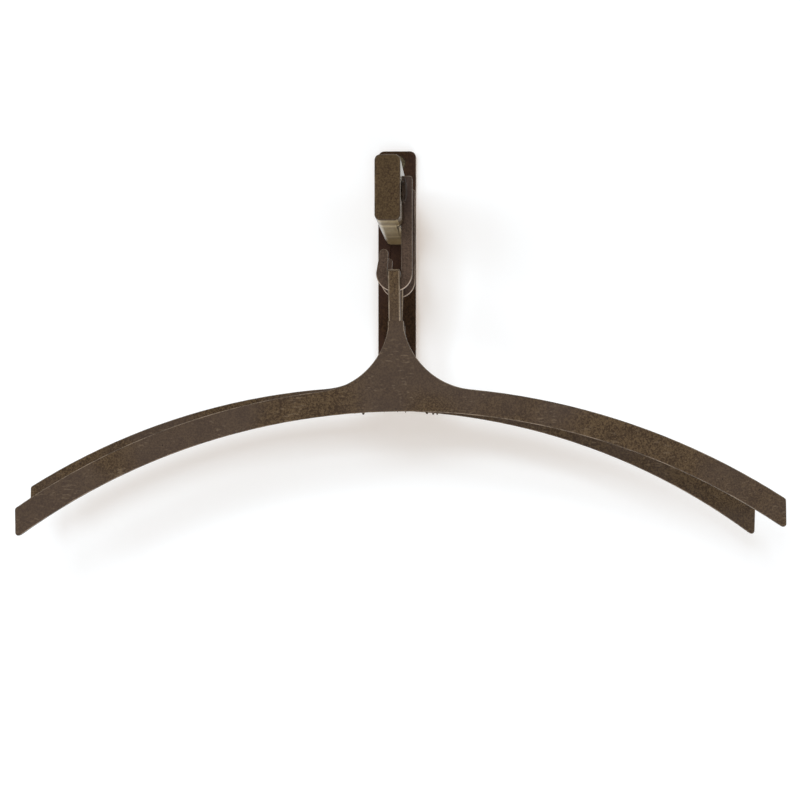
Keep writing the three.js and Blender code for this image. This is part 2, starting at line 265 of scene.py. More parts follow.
def new_material(name: str) -> tuple[bpy.types.Material, Graph]:
    """Makes a material.

    Args:
        name: The material's name.

    Returns:
        The material and the graph of its nodes, which is empty.
    """
    made = bpy.data.materials.new(name)
    made.use_nodes = True
    return made, Graph(made.node_tree)


@dataclass(frozen=True)
class Finish:
    """The finish of a surface, made into a material once."""

    name: str

    def material(self) -> bpy.types.Material:
        """Makes the material, or takes the one that was made before.

        Returns:
            The material.
        """
        made = bpy.data.materials.get(self.name)
        if not made:
            made, graph = new_material(self.name)
            graph.node("ShaderNodeOutputMaterial", None, {"Surface": self.shader(graph).outputs[0]})
        return made

    def shader(self, graph: Graph) -> bpy.types.Node:
        """Builds the finish's shader in a graph."""
        raise NotImplementedError


@dataclass(frozen=True)
class BrownedSteel(Finish):
    """Browned and oiled steel plate: mottled, finely grained, with a few dark pits."""

    dark: Colour
    pale: Colour
    tint: Colour
    roughness: float = 0.42
    metallic: float = 0.25
    specular: float = 0.22
    cut_edges: float = 0.0
    bands: float = 0.0
    strokes: float = 0.0
    stroke_colour: Colour = paint(142, 124, 102)
    pit_colour: Colour = paint(26, 20, 16)
    bump_strength: float = 0.35
    bump_height: float = 0.08

    def banded(self, graph: Graph, place: bpy.types.NodeSocket, shade: Number) -> Number:
        """Lays bands across the underside over the mottling, and a painted shade that darkens it towards the wall.

        Args:
            graph: The graph that it goes into.
            place: Where on the piece.
            shade: The mottling.

        Returns:
            The mottling, with the bands and the painted shade in it.
        """
        lines = graph.noise(place, UNDERSIDE_BAND, 1.5, (0.05, 1, 0.05)).step(0.4, 0.58)
        # Painted shade: the underside darkens towards the wall plate, deepest 30 mm from the wall and gone at the
        # front end.
        out_of_shade = graph.axis(place, "Y").step(UNDERSIDE_SHADE_DEEPEST * MM, UNDERSIDE_SHADE_GONE * MM)
        return (shade * (1 - self.bands) + lines * self.bands) * (0.42 + out_of_shade * 0.58)

    def brushed(self, graph: Graph, place: bpy.types.NodeSocket) -> Number:
        """Gives fine brush strokes that show in patches."""
        strokes = graph.noise(place, STROKE, 1, (0.26, 1, 0.8)).step(0.58, 0.7)
        return strokes * graph.noise(place, STROKED_PATCH, 1).step(0.42, 0.6) * self.strokes

    def sawn(self, graph: Graph, place: bpy.types.NodeSocket) -> Number:
        """Gives the lines that cutting left across the plate's thickness.

        Args:
            graph: The graph that it goes into.
            place: Where on the piece.

        Returns:
            Their height, which is 0 on the plate's faces.
        """
        normal = graph.node("ShaderNodeNewGeometry").outputs["Normal"]
        side = 1 - abs(graph.axis(normal, "Y")).step(0.2, 0.8)
        return side * graph.noise(place, CUT_LINE, 1, (1, 0.03, 1)) * self.cut_edges

    def shader(self, graph: Graph) -> bpy.types.Node:
        """Builds the finish's shader.

        Args:
            graph: The graph that it goes into.

        Returns:
            The shader's node.
        """
        place = graph.place()
        blotch = graph.noise(place, BLOTCH, 3)
        cloud = graph.noise(place, CLOUD, 2)
        grain = graph.noise(place, GRAIN, 2)
        dust = graph.noise(place, DUST, 1)
        cell = graph.node("ShaderNodeTexVoronoi", None, {"Vector": place, "Scale": PIT})
        pits = Number(graph, cell.outputs["Distance"]).step(0.16, 0.05)
        pits = pits * graph.noise(place, PITTED_PATCH, 1).step(0.55, 0.66)
        shade = (blotch * 0.2 + grain * 0.45 + dust * 0.35).step(0.4, 0.6)
        if self.bands:
            shade = self.banded(graph, place, shade)
        colour = graph.mix(shade, self.dark, self.pale)
        colour = graph.mix(cloud.step(0.4, 0.62) * 0.6, colour, self.tint)
        if self.strokes:
            colour = graph.mix(self.brushed(graph, place), colour, self.stroke_colour)
        colour = graph.mix(pits * 0.75, colour, self.pit_colour)
        height = grain * 0.55 + dust * 0.35 - pits * 0.9
        if self.cut_edges:
            height = height + self.sawn(graph, place)
        relief = {"Strength": self.bump_strength, "Distance": self.bump_height * MM, "Height": height}
        inputs = {
            "Base Color": colour,
            "Metallic": self.metallic,
            "Roughness": self.roughness + (grain - 0.5) * 0.22 - (blotch - 0.5) * 0.18,
            "Normal": graph.node("ShaderNodeBump", None, relief).outputs[0],
            "Specular IOR Level": self.specular,
        }
        return graph.node("ShaderNodeBsdfPrincipled", None, inputs)


@dataclass(frozen=True)
class EdgeWearAndHighlight(Finish):
    """The eased edge of a browned plate, paler than its faces: partly wear, where paler steel shows through, and
    partly a painted highlight where the edge catches the light.

    Where the low-edge colour is set, the edge turns to it between the two heights given after it, partly as wear
    and partly as a painted highlight.
    """

    pale: Colour
    brown: Colour
    roughness: float = 0.42
    metallic: float = 0.5
    wear_and_highlight: Colour | None = None
    wear_and_highlight_from: float = 0.0
    wear_and_highlight_below: float = 0.0

    def shader(self, graph: Graph) -> bpy.types.Node:
        """Builds the finish's shader.

        Args:
            graph: The graph that it goes into.

        Returns:
            The shader's node.
        """
        place = graph.place()
        rub = graph.noise(place, RUB_PATCH, 3) * 0.6 + graph.noise(place, RUB_GRAIN, 2) * 0.4
        rub = rub.step(0.38, 0.64)
        colour = graph.mix(rub, self.brown, self.pale)
        # Low on the hook, the edge turns paler still: partly wear, partly a painted highlight on the U's lower
        # arcs.
        if self.wear_and_highlight:
            low = graph.axis(place, "Z").step(self.wear_and_highlight_from * MM, self.wear_and_highlight_below * MM)
            colour = graph.mix(low, colour, self.wear_and_highlight)
        rough = self.roughness + (1 - rub) * 0.15
        inputs = {"Base Color": colour, "Metallic": self.metallic, "Roughness": rough}
        return graph.node("ShaderNodeBsdfPrincipled", None, inputs)


ARM_BROWN = BrownedSteel("arm_brown", paint(48, 33, 18), paint(80, 64, 42), paint(66, 52, 31))
ARM_DRAWN = BrownedSteel(
    "arm_drawn",
    paint(78, 63, 42),
    paint(122, 104, 76),
    paint(104, 87, 60),
    roughness=0.26,
    metallic=0.3,
    specular=0.6,
)
# The arm's underside: the arm's own steel painted far paler, as a painted reflection of the light from below and
# of the white wall. It also carries bands across it, and a painted shade towards the wall.
ARM_UNDER_PAINTED_LIGHT = BrownedSteel(
    "arm_underside_painted_light",
    paint(116, 96, 62),
    paint(216, 196, 156),
    paint(162, 138, 96),
    roughness=0.38,
    metallic=0.1,
    specular=0.5,
    bands=0.7,
)
HOOK_BROWN = BrownedSteel(
    "hook_brown", paint(57, 44, 34), paint(81, 65, 54), paint(68, 54, 49), cut_edges=0.8
)
HANGER_BROWN = BrownedSteel(
    "hanger_brown", paint(50, 36, 23), paint(88, 71, 50), paint(70, 58, 51), cut_edges=0.8, strokes=0.2
)
PLATE_BROWN = BrownedSteel(
    "plate_brown", paint(35, 22, 11), paint(60, 42, 26), paint(60, 41, 36), specular=0.1, cut_edges=0.8
)
# Dark fastener steel with almost no reflection. On the hooks' domed screws, between the arm and each hook, this
# darkness also paints the shade that falls there.
FASTENER_BLACK = BrownedSteel(
    "fastener_black",
    paint(34, 25, 18),
    paint(58, 45, 36),
    paint(48, 37, 30),
    roughness=0.72,
    metallic=0.1,
    specular=0.05,
)
SCREW_BROWN = BrownedSteel(
    "screw_brown",
    paint(62, 54, 40),
    paint(94, 84, 66),
    paint(80, 71, 54),
    roughness=0.6,
    metallic=0.15,
    specular=0.1,
)
# Edge colours are paler than the faces: partly wear, partly a painted highlight where eased edges catch the light.
EDGE = EdgeWearAndHighlight("edge_wear_and_highlight", paint(132, 115, 96), paint(70, 57, 44))
# The hook's edges turn palest low on the U, between 45 and 54 mm below the arm's middle: partly wear, partly a
# painted highlight.
HOOK_EDGE = EdgeWearAndHighlight(
    "hook_edge_wear_and_highlight",
    paint(122, 106, 90),
    paint(70, 57, 44),
    wear_and_highlight=paint(180, 160, 142),
    wear_and_highlight_from=-45,
    wear_and_highlight_below=-54,
)
ARM_EDGE = EdgeWearAndHighlight("arm_edge_wear_and_highlight", paint(88, 72, 52), paint(52, 39, 26))
# The neck's edge colour is the palest, mostly a painted highlight along its eased edges and over its bend.
NECK_EDGE = EdgeWearAndHighlight("neck_edge_wear_and_highlight", paint(150, 133, 112), paint(104, 90, 74))
PLATE_EDGE = EdgeWearAndHighlight("plate_edge_wear_and_highlight", paint(92, 74, 60), paint(52, 39, 29))


class Drive(Enum):
    """The recess in a fastener's head."""

    CROSS = "cross"
    HEX = "hex"


class Surface(IntEnum):
    """The material slots of a dressed bar or plate."""

    FACE = 0
    EDGE = 1
    DRAWN = 2
    UNDER = 3


def new_object(name: str, data: bpy.types.ID) -> bpy.types.Object:
    """Puts a mesh, a light or a camera in the scene as an object at the origin.

    Args:
        name: The object's name.
        data: The mesh, light or camera.

    Returns:
        The object.
    """
    made = bpy.data.objects.new(name, data)
    bpy.context.scene.collection.objects.link(made)
    return made


def new_mesh(name: str, work: bmesh.types.BMesh) -> bpy.types.Mesh:
    """Turns worked geometry into a mesh and lets the work go.

    Args:
        name: The mesh's name.
        work: The geometry.

    Returns:
        The mesh.
    """
    mesh = bpy.data.meshes.new(name)
    work.to_mesh(mesh)
    work.free()
    return mesh


def new_tree(name: str, inputs: dict[str, str]) -> bpy.types.NodeTree:
    """Makes a Geometry Nodes tree with named inputs.

    Args:
        name: The tree's name.
        inputs: The kind of each input besides the geometry, by its name.

    Returns:
        The tree, with no nodes in it.
    """
    tree = bpy.data.node_groups.new(name, "GeometryNodeTree")
    face = tree.interface
    face.new_socket("Geometry", in_out="INPUT", socket_type="NodeSocketGeometry")
    for label, kind in inputs.items():
        face.new_socket(label, in_out="INPUT", socket_type=f"NodeSocket{kind}")
    face.new_socket("Geometry", in_out="OUTPUT", socket_type="NodeSocketGeometry")
    return tree


def run_tree(piece: bpy.types.Object, tree: bpy.types.NodeTree, values: dict[str, Any]) -> None:
    """Puts a tree on a piece and sets its inputs by their identifiers.

    Args:
        piece: The piece.
        tree: The tree.
        values: The inputs' values by name.
    """
    made = piece.modifiers.new(tree.name, "NODES")
    made.node_group = tree
    for socket in tree.interface.items_tree:
        if socket.in_out == "INPUT" and socket.name in values:
            made[socket.identifier] = values[socket.name]


def settle(piece: bpy.types.Object) -> None:
    """Turns a piece's modifiers into plain mesh and removes them.

    Args:
        piece: The piece.
    """
    graph = bpy.context.evaluated_depsgraph_get()
    mesh = bpy.data.meshes.new_from_object(
        piece.evaluated_get(graph), preserve_all_data_layers=True, depsgraph=graph
    )
    piece.modifiers.clear()
    piece.data = mesh


def smooth(piece: bpy.types.Object) -> None:
    """Shades every face of a piece smooth."""
    for face in piece.data.polygons:
        face.use_smooth = True


def carry(piece: bpy.types.Object, body: str, slot: str, *nodes: str) -> None:
    """Makes a finished piece ride on a body in place of its plain solids.

    Args:
        piece: The finished piece.
        body: The body that it rides on.
        slot: The record's material slot; not used.
        nodes: The nodes that it stands for.
    """
    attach(piece, body)
    if nodes:
        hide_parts(*nodes)
    LOG.info("%s rides on %s, %d faces", piece.name, body, len(piece.data.polygons))


@dataclass
class PlateWork:
    """A piece of bar or plate: its solid with eased edges, coloured paler partly by wear and partly as a painted
    highlight.

    Edges stay sharp where both ends are between the two heights of ``sharp``, or left of and above
    the corner that ``let_in`` gives in x and z. ``facing``, ``drawn_limit`` and ``bend_limit`` are
    limits for the parts of a face's normal.
    """

    node: str
    body: str
    finish: BrownedSteel
    slot: str
    edge: EdgeWearAndHighlight = EDGE
    ease: float = 0.45
    drawn: BrownedSteel | None = None
    under: BrownedSteel | None = None
    sharp: tuple[float, float] | None = None
    let_in: tuple[float, float] | None = None
    painted_bend_highlight: bool = False
    shortest: float = 0.0
    rear_share: float = 1.0
    room_share: float = 0.4
    short_edge: float = 0.4
    facing: float = 0.9
    drawn_limit: float = 0.3
    bend_limit: float = 0.2

    def outer(self, edge: bmesh.types.BMEdge) -> bool:
        """Tells whether an edge is a sharp outer one."""
        return edge.is_convex and edge.calc_face_angle() > SHARP

    def joined(self, ends: Sequence[Vector]) -> bool:
        """Tells whether an edge lies against another piece, in a butt joint or a slot.

        Args:
            ends: The edge's two ends.

        Returns:
            Whether it does.
        """
        if self.sharp:
            low, high = (z * MM for z in self.sharp)
            if all(low < end.z < high for end in ends):
                return True
        if self.let_in:
            right, foot = (v * MM for v in self.let_in)
            return all(end.x < right and end.z > foot for end in ends)
        return False

    def eased(self, edge: bmesh.types.BMEdge) -> float:
        """Tells how far an edge is rubbed round: a sharp outer one that isn't in a joint.

        Args:
            edge: An edge of the solid.

        Returns:
            The share of the full ease, less where the faces beside the edge are narrow.
        """
        length = edge.calc_length()
        start, end = (v.co for v in edge.verts)
        if length < self.shortest * MM or not self.outer(edge) or self.joined((start, end)):
            return 0.0
        along = (end - start).normalized()
        front = any(face.normal.y < -self.facing for face in edge.link_faces)
        share = 1.0 if front else self.rear_share
        for face in edge.link_faces:
            depth = max((v.co - start).cross(along).length for v in face.verts)
            share = min(share, self.room_share * depth / (self.ease * MM))
        return share if length > self.short_edge * MM else min(share, self.room_share)

    def choose(self, normal: Vector) -> Surface:
        """Picks a face's finish: the painted highlight on a bend, the underside with its painted light, the long
        drawn sides or the rest.

        Args:
            normal: The way that the face looks.

        Returns:
            The material slot.
        """
        # Painted highlight: faces of the bend that look up and forward take the pale edge colour.
        if self.painted_bend_highlight and normal.z > self.bend_limit and normal.y < -self.bend_limit:
            return Surface.EDGE
        if self.under and normal.z < -self.facing:
            return Surface.UNDER
        return Surface.DRAWN if self.drawn and abs(normal.y) < self.drawn_limit else Surface.FACE

    def prepare(self, mesh: bpy.types.Mesh) -> None:
        """Merges a copied solid's faces, picks their finish and weighs its edges.

        Args:
            mesh: The copy of the solid's mesh.
        """
        work = bmesh.new()
        work.from_mesh(mesh)
        bmesh.ops.remove_doubles(work, verts=work.verts, dist=TOUCHING)
        bmesh.ops.dissolve_limit(work, angle_limit=FLAT, verts=work.verts, edges=work.edges)
        for face in work.faces:
            face.smooth = True
            face.material_index = self.choose(face.normal)
        weight = work.edges.layers.float.new("bevel_weight_edge")
        for edge in work.edges:
            edge[weight] = self.eased(edge)
        work.to_mesh(mesh)
        work.free()

    def round_edges(self, piece: bpy.types.Object) -> None:
        """Eases the weighted edges.

        Args:
            piece: The piece.
        """
        bevel = piece.modifiers.new("ease", "BEVEL")
        bevel.width = self.ease * MM
        bevel.segments = EASE_STEPS
        bevel.limit_method = "WEIGHT"
        bevel.material = Surface.EDGE
        bevel.use_clamp_overlap = False
        weld = piece.modifiers.new("weld", "WELD")
        weld.merge_threshold = TOUCHING
        weigh = piece.modifiers.new("weigh", "WEIGHTED_NORMAL")
        weigh.mode = "FACE_AREA"
        weigh.weight = 50
        settle(piece)

    def build(self, solids: dict[str, bpy.types.Object]) -> None:
        """Copies the solid, eases its edges and dresses it.

        Args:
            solids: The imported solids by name.
        """
        mesh = solids[self.node].data.copy()
        mesh.materials.clear()
        self.prepare(mesh)
        piece = new_object(f"{self.node}_dressed", mesh)
        for finish in (self.finish, self.edge, self.drawn, self.under):
            if finish:
                mesh.materials.append(finish.material())
        self.round_edges(piece)
        if self.drawn:
            for face in piece.data.polygons:
                if face.material_index == Surface.EDGE and abs(face.normal.y) < self.drawn_limit:
                    face.material_index = Surface.DRAWN
        carry(piece, self.body, self.slot, self.node)


@dataclass
class FastenerPair:
    """Two fasteners of one kind: a turned blank with a driven recess, repeated along a line.

    The profile is a list of radii and depths from the head's top, and ``faces`` is the way the head
    looks. Each is turned about its axis by up to ``most_spin``, in radians.
    """

    name: str
    nodes: tuple[str, str]
    profile: Sequence[tuple[float, float]]
    drive: Drive
    drive_size: float
    drive_depth: float
    first: Triple
    step: Triple
    faces: Triple
    finish: BrownedSteel = FASTENER_BLACK
    sides: int = 48
    cross_width: float = 1.2
    recess_taper: float = 0.85
    ease: float = 0.16
    most_spin: float = 1.4
    seed: int = 7

    def blank(self) -> bpy.types.Mesh:
        """Turns the profile about the axis, from the head's top downwards.

        Returns:
            The blank's mesh.
        """
        work = bmesh.new()
        rings = []
        turn = [2 * math.pi * i / self.sides for i in range(self.sides)]
        for radius, depth in self.profile:
            around = turn if radius else [0.0]
            rings.append(
                [work.verts.new((radius * math.cos(a), radius * math.sin(a), -depth)) for a in around]
            )
        for upper, lower in zip(rings, rings[1:]):
            for i in range(self.sides):
                j = (i + 1) % self.sides
                corners = [upper[i % len(upper)], lower[i % len(lower)]]
                corners += [lower[j % len(lower)], upper[j % len(upper)]]
                work.faces.new(list(dict.fromkeys(corners)))
        bmesh.ops.recalc_face_normals(work, faces=work.faces)
        bmesh.ops.scale(work, vec=(MM, MM, MM), verts=work.verts)
        return new_mesh(self.name, work)

    def outline(self) -> list[tuple[float, float]]:
        """Draws the recess.

        Returns:
            Its corners in order.
        """
        half = self.drive_size / 2
        if self.drive is Drive.HEX:
            return [(half * math.cos(i * math.pi / 3), half * math.sin(i * math.pi / 3)) for i in range(6)]
        thin = self.cross_width / 2
        return [
            (x * math.cos(q) - y * math.sin(q), x * math.sin(q) + y * math.cos(q))
            for q in (k * math.pi / 2 for k in range(4))
            for x, y in ((half, -thin), (half, thin), (thin, thin))
        ]

    def recess(self) -> bpy.types.Mesh:
        """Makes the tool that sinks the recess into the head.

        Returns:
            The tool's mesh.
        """
        outline = self.outline()
        taper = self.recess_taper
        work = bmesh.new()
        top = [work.verts.new((x * MM, y * MM, MM)) for x, y in outline]
        low = [work.verts.new((x * taper * MM, y * taper * MM, -self.drive_depth * MM)) for x, y in outline]
        work.faces.new(top)
        work.faces.new(list(reversed(low)))
        for i in range(len(outline)):
            j = (i + 1) % len(outline)
            work.faces.new([top[i], low[i], low[j], top[j]])
        bmesh.ops.recalc_face_normals(work, faces=work.faces)
        return new_mesh(f"{self.name}_recess", work)

    def repeat_tree(self) -> bpy.types.NodeTree:
        """Makes the tree that sets copies of a blank along a line, each turned by chance about its axis.

        Returns:
            The tree.
        """
        inputs = {"Count": "Int", "First": "Vector", "Step": "Vector", "Lean": "Vector", "Material": "Material"}
        tree = new_tree(f"{self.name}_repeat", inputs)
        graph = Graph(tree)
        given = graph.node("NodeGroupInput").outputs
        line = graph.node(
            "GeometryNodeMeshLine",
            {"mode": "OFFSET"},
            {"Count": given["Count"], "Start Location": given["First"], "Offset": given["Step"]},
        )
        spin = graph.node(
            "FunctionNodeRandomValue",
            {"data_type": "FLOAT_VECTOR"},
            {0: (0, 0, 0), 1: (0, 0, self.most_spin), "Seed": self.seed},
        )
        own = graph.node("FunctionNodeEulerToRotation", None, {0: spin.outputs[0]})
        lean = graph.node("FunctionNodeEulerToRotation", None, {0: given["Lean"]})
        turn = graph.node(
            "FunctionNodeRotateRotation", {"rotation_space": "LOCAL"}, {0: lean.outputs[0], 1: own.outputs[0]}
        )
        copies = graph.node(
            "GeometryNodeInstanceOnPoints",
            None,
            {"Points": line.outputs[0], "Instance": given["Geometry"], "Rotation": turn.outputs[0]},
        )
        graph.finish_copies(copies, given["Material"])
        return tree

    def build(self) -> None:
        """Makes both fasteners as one piece."""
        piece = new_object(self.name, self.blank())
        tool = new_object(f"{self.name}_tool", self.recess())
        sink = piece.modifiers.new("recess", "BOOLEAN")
        sink.operation = "DIFFERENCE"
        sink.object = tool
        settle(piece)
        bpy.data.objects.remove(tool)
        ease = piece.modifiers.new("ease", "BEVEL")
        ease.width = self.ease * MM
        ease.segments = EASE_STEPS
        ease.angle_limit = SHARP
        values = {
            "Count": len(self.nodes),
            "First": [v * MM for v in self.first],
            "Step": [v * MM for v in self.step],
            "Lean": list(Vector((0, 0, 1)).rotation_difference(Vector(self.faces)).to_euler()),
            "Material": self.finish.material(),
        }
        run_tree(piece, self.repeat_tree(), values)
        settle(piece)
        smooth(piece)
        piece.data.set_sharp_from_angle(angle=CREASE)
        carry(piece, "rack", "blacked_steel", *self.nodes)


@dataclass
class Rack:
    """What stays fixed to the wall: the plate, the arm, the hooks and all their fasteners."""

    plate_top: float = 43.0
    plate_height: float = 150.0
    plate_thick: float = 5.0
    screw_inset: float = 8.0
    sunk: float = 0.1
    bolt_spread: float = 22.0
    arm_ease: float = 0.28
    hook_front: float = -127.0
    hook_spacing: float = 68.0
    slot_corner: tuple[float, float] = (7.75, -19.0)
    lug_hole: float = -22.0
    lug_screw_top: float = 11.0
    dome_radius: float = 7.0
    dome_height: float = 1.4
    dome_rings: Sequence[float] = (1.6, 3.0, 4.2, 5.2, 6.1, 6.7)

    def bars(self, solids: dict[str, bpy.types.Object]) -> None:
        """Dresses the plate, the arm and the hooks.

        Args:
            solids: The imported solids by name.
        """
        PlateWork("wall_plate", "rack", PLATE_BROWN, "dark_steel", PLATE_EDGE).build(solids)
        PlateWork(
            "support_arm",
            "rack",
            ARM_BROWN,
            "browned_steel",
            ARM_EDGE,
            ease=self.arm_ease,
            drawn=ARM_DRAWN,
            under=ARM_UNDER_PAINTED_LIGHT,
        ).build(solids)
        for end in ("front", "rear"):
            PlateWork(
                f"hook_{end}", "rack", HOOK_BROWN, "browned_steel", HOOK_EDGE, let_in=self.slot_corner
            ).build(solids)

    def fasteners(self) -> None:
        """Makes the wall screws, the arm's bolts and the hooks' domed screws."""
        FastenerPair(
            "wall_screws",
            ("wall_screw_upper", "wall_screw_lower"),
            profile=[(0, 0), (5.0, 0), (5.3, 0.15), (2.5, 2.9), (2.5, 4.8), (0, 4.8)],
            drive=Drive.CROSS,
            drive_size=5.2,
            drive_depth=1.6,
            first=(0, self.sunk - self.plate_thick, self.plate_top - self.screw_inset),
            step=(0, 0, 2 * self.screw_inset - self.plate_height),
            faces=(0, -1, 0),
            finish=SCREW_BROWN,
        ).build()
        FastenerPair(
            "arm_bolts",
            ("arm_bolt_upper", "arm_bolt_lower"),
            profile=[(0, 0), (5.2, 0), (5.5, 0.15), (3.0, 2.6), (3.0, 20), (0, 20)],
            drive=Drive.HEX,
            drive_size=4.6,
            drive_depth=2.6,
            first=(0, -self.sunk, self.bolt_spread / 2),
            step=(0, 0, -self.bolt_spread),
            faces=(0, 1, 0),
        ).build()
        ball = (self.dome_radius**2 + self.dome_height**2) / (2 * self.dome_height)
        dome = [(r, ball - math.sqrt(ball**2 - r**2)) for r in self.dome_rings]
        rim = [(self.dome_radius, 1.45), (self.dome_radius, 1.8)]
        FastenerPair(
            "hook_screws",
            ("hook_screw_front", "hook_screw_rear"),
            profile=[(0, 0), *dome, *rim, (2, 1.8), (2, 13.8), (0, 13.8)],
            drive=Drive.HEX,
            drive_size=3.4,
            drive_depth=1.4,
            first=(self.lug_screw_top, self.hook_front + self.lug_hole, 0),
            step=(0, self.hook_spacing, 0),
            faces=(1, 0, 0),
        ).build()

    def build(self, solids: dict[str, bpy.types.Object]) -> None:
        """Makes and dresses every piece of the rack."""
        self.bars(solids)
        self.fasteners()


@dataclass
class Hanger:
    """One hanger: a neck bent over its hook, and an arched blade with a little dross on its cut edge."""

    end: str
    hook_y: float
    turn: float
    tilt: float
    seed: int
    pivot_x: float = 2.57
    pivot_z: float = -47.15
    blade_radius: float = 394.7
    blade_drop: float = 81.8
    blade_back: float = -3.2
    blade_ease: float = 0.42
    neck_ease: float = 0.8
    neck_shortest: float = 3.0
    neck_rear_share: float = 0.5
    seam: float = -75.45
    joint: float = 0.8
    far_below: float = -1000.0
    dross_half: float = 27.0
    arc_points: int = 64
    dross_count: int = 44
    dross_share: float = 0.16
    dross_smallest: float = 0.15
    dross_largest: float = 0.85
    dross_drip: float = 1.6

    @property
    def body(self) -> str:
        """The body that the hanger's pieces ride on."""
        return f"hanger_{self.end}"

    def hung(self) -> Matrix:
        """Gives the hanger's place on its hook.

        Returns:
            The matrix from its own frame to the rack's.
        """
        place = Matrix.Translation(Vector((self.pivot_x, self.hook_y, self.pivot_z)) * MM)
        tilt = Matrix.Rotation(math.radians(self.tilt), 4, "Y")
        return place @ tilt @ Matrix.Rotation(math.radians(self.turn), 4, "Z")

    def dross_tree(self) -> bpy.types.NodeTree:
        """Makes the tree that strews small beads along an arc.

        Returns:
            The tree.
        """
        inputs = {
            "Radius": "Float",
            "Half Angle": "Float",
            "Count": "Int",
            "Smallest": "Float",
            "Largest": "Float",
            "Seed": "Int",
            "Material": "Material",
        }
        tree = new_tree(f"dross_{self.end}", inputs)
        graph = Graph(tree)
        given = graph.node("NodeGroupInput").outputs
        half = Number(graph, given["Half Angle"])
        arc = graph.node(
            "GeometryNodeCurveArc",
            {"mode": "RADIUS"},
            {
                "Resolution": self.arc_points,
                "Radius": given["Radius"],
                "Start Angle": math.pi / 2 - half,
                "Sweep Angle": half * 2,
            },
        )
        points = graph.node("GeometryNodeCurveToPoints", {"mode": "COUNT"}, {0: arc.outputs[0], 1: given["Count"]})
        kept = graph.node(
            "FunctionNodeRandomValue",
            {"data_type": "BOOLEAN"},
            {"Probability": self.dross_share, "Seed": given["Seed"]},
        )
        size = graph.node(
            "FunctionNodeRandomValue",
            {"data_type": "FLOAT"},
            {2: given["Smallest"], 3: given["Largest"], "Seed": given["Seed"]},
        )
        across = Number(graph, size.outputs[1])
        drip = graph.node("ShaderNodeCombineXYZ", None, {0: across, 1: across * self.dross_drip, 2: across})
        bead = graph.node("GeometryNodeMeshIcoSphere", None, {"Radius": 1.0, "Subdivisions": 2})
        beads = graph.node(
            "GeometryNodeInstanceOnPoints",
            None,
            {
                "Points": points.outputs[0],
                "Selection": kept.outputs[3],
                "Instance": bead.outputs[0],
                "Scale": drip.outputs[0],
            },
        )
        graph.finish_copies(beads, given["Material"])
        return tree

    def dross(self) -> None:
        """Makes the beads that the cutting left along the middle of the blade's lower edge."""
        piece = new_object(f"hanger_dross_{self.end}", bpy.data.meshes.new(f"dross_{self.end}"))
        values = {
            "Radius": self.blade_radius * MM,
            "Half Angle": self.dross_half / self.blade_radius,
            "Count": self.dross_count,
            "Smallest": self.dross_smallest * MM,
            "Largest": self.dross_largest * MM,
            "Seed": self.seed,
            "Material": HANGER_BROWN.material(),
        }
        run_tree(piece, self.dross_tree(), values)
        settle(piece)
        down = Vector((0, self.blade_back, -self.blade_drop - self.blade_radius)) * MM
        piece.data.transform(self.hung() @ Matrix.Translation(down) @ UPRIGHT)
        smooth(piece)
        carry(piece, self.body, "browned_steel")

    def build(self, solids: dict[str, bpy.types.Object]) -> None:
        """Makes and dresses the neck, the blade and its dross.

        Args:
            solids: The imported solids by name.
        """
        low, high = self.seam - self.joint, self.seam + self.joint
        PlateWork(
            f"hanger_neck_{self.end}",
            self.body,
            HANGER_BROWN,
            "browned_steel",
            NECK_EDGE,
            ease=self.neck_ease,
            sharp=(self.far_below, high),
            painted_bend_highlight=True,
            shortest=self.neck_shortest,
            rear_share=self.neck_rear_share,
        ).build(solids)
        PlateWork(
            f"hanger_blade_{self.end}",
            self.body,
            HANGER_BROWN,
            "browned_steel",
            ease=self.blade_ease,
            sharp=(low, high),
        ).build(solids)
        self.dross()


@dataclass(frozen=True)
class Lamp:
    """A soft square lamp, in metres and watts, and whether it shows in reflections."""

    name: str
    place: Triple
    size: float
    power: float
    mirrored: bool = True
    aim: Triple = (0, -0.05, -0.1)

    def build(self) -> None:
        """Sets the lamp up, facing the point that it is aimed at."""
        light = bpy.data.lights.new(self.name, "AREA")
        light.shape = "SQUARE"
        light.size = self.size
        light.energy = self.power
        made = new_object(self.name, light)
        made.visible_glossy = self.mirrored
        made.location = self.place
        made.rotation_euler = (Vector(self.aim) - Vector(self.place)).to_track_quat("-Z", "Y").to_euler()


LAMPS = (
    Lamp("key", (-0.14, -1.7, 0.36), 0.46, 12.2, mirrored=False),
    Lamp("side", (-0.6, -1.5, 0.14), 0.32, 2.6, mirrored=False),
    Lamp("right", (1.3, -1.1, 0.0), 0.9, 2),
    Lamp("left", (-1.3, -1.1, 0.0), 0.9, 2),
    Lamp("low", (0.25, -0.9, -1.1), 0.8, 6, aim=(0, -0.1, 0)),
)


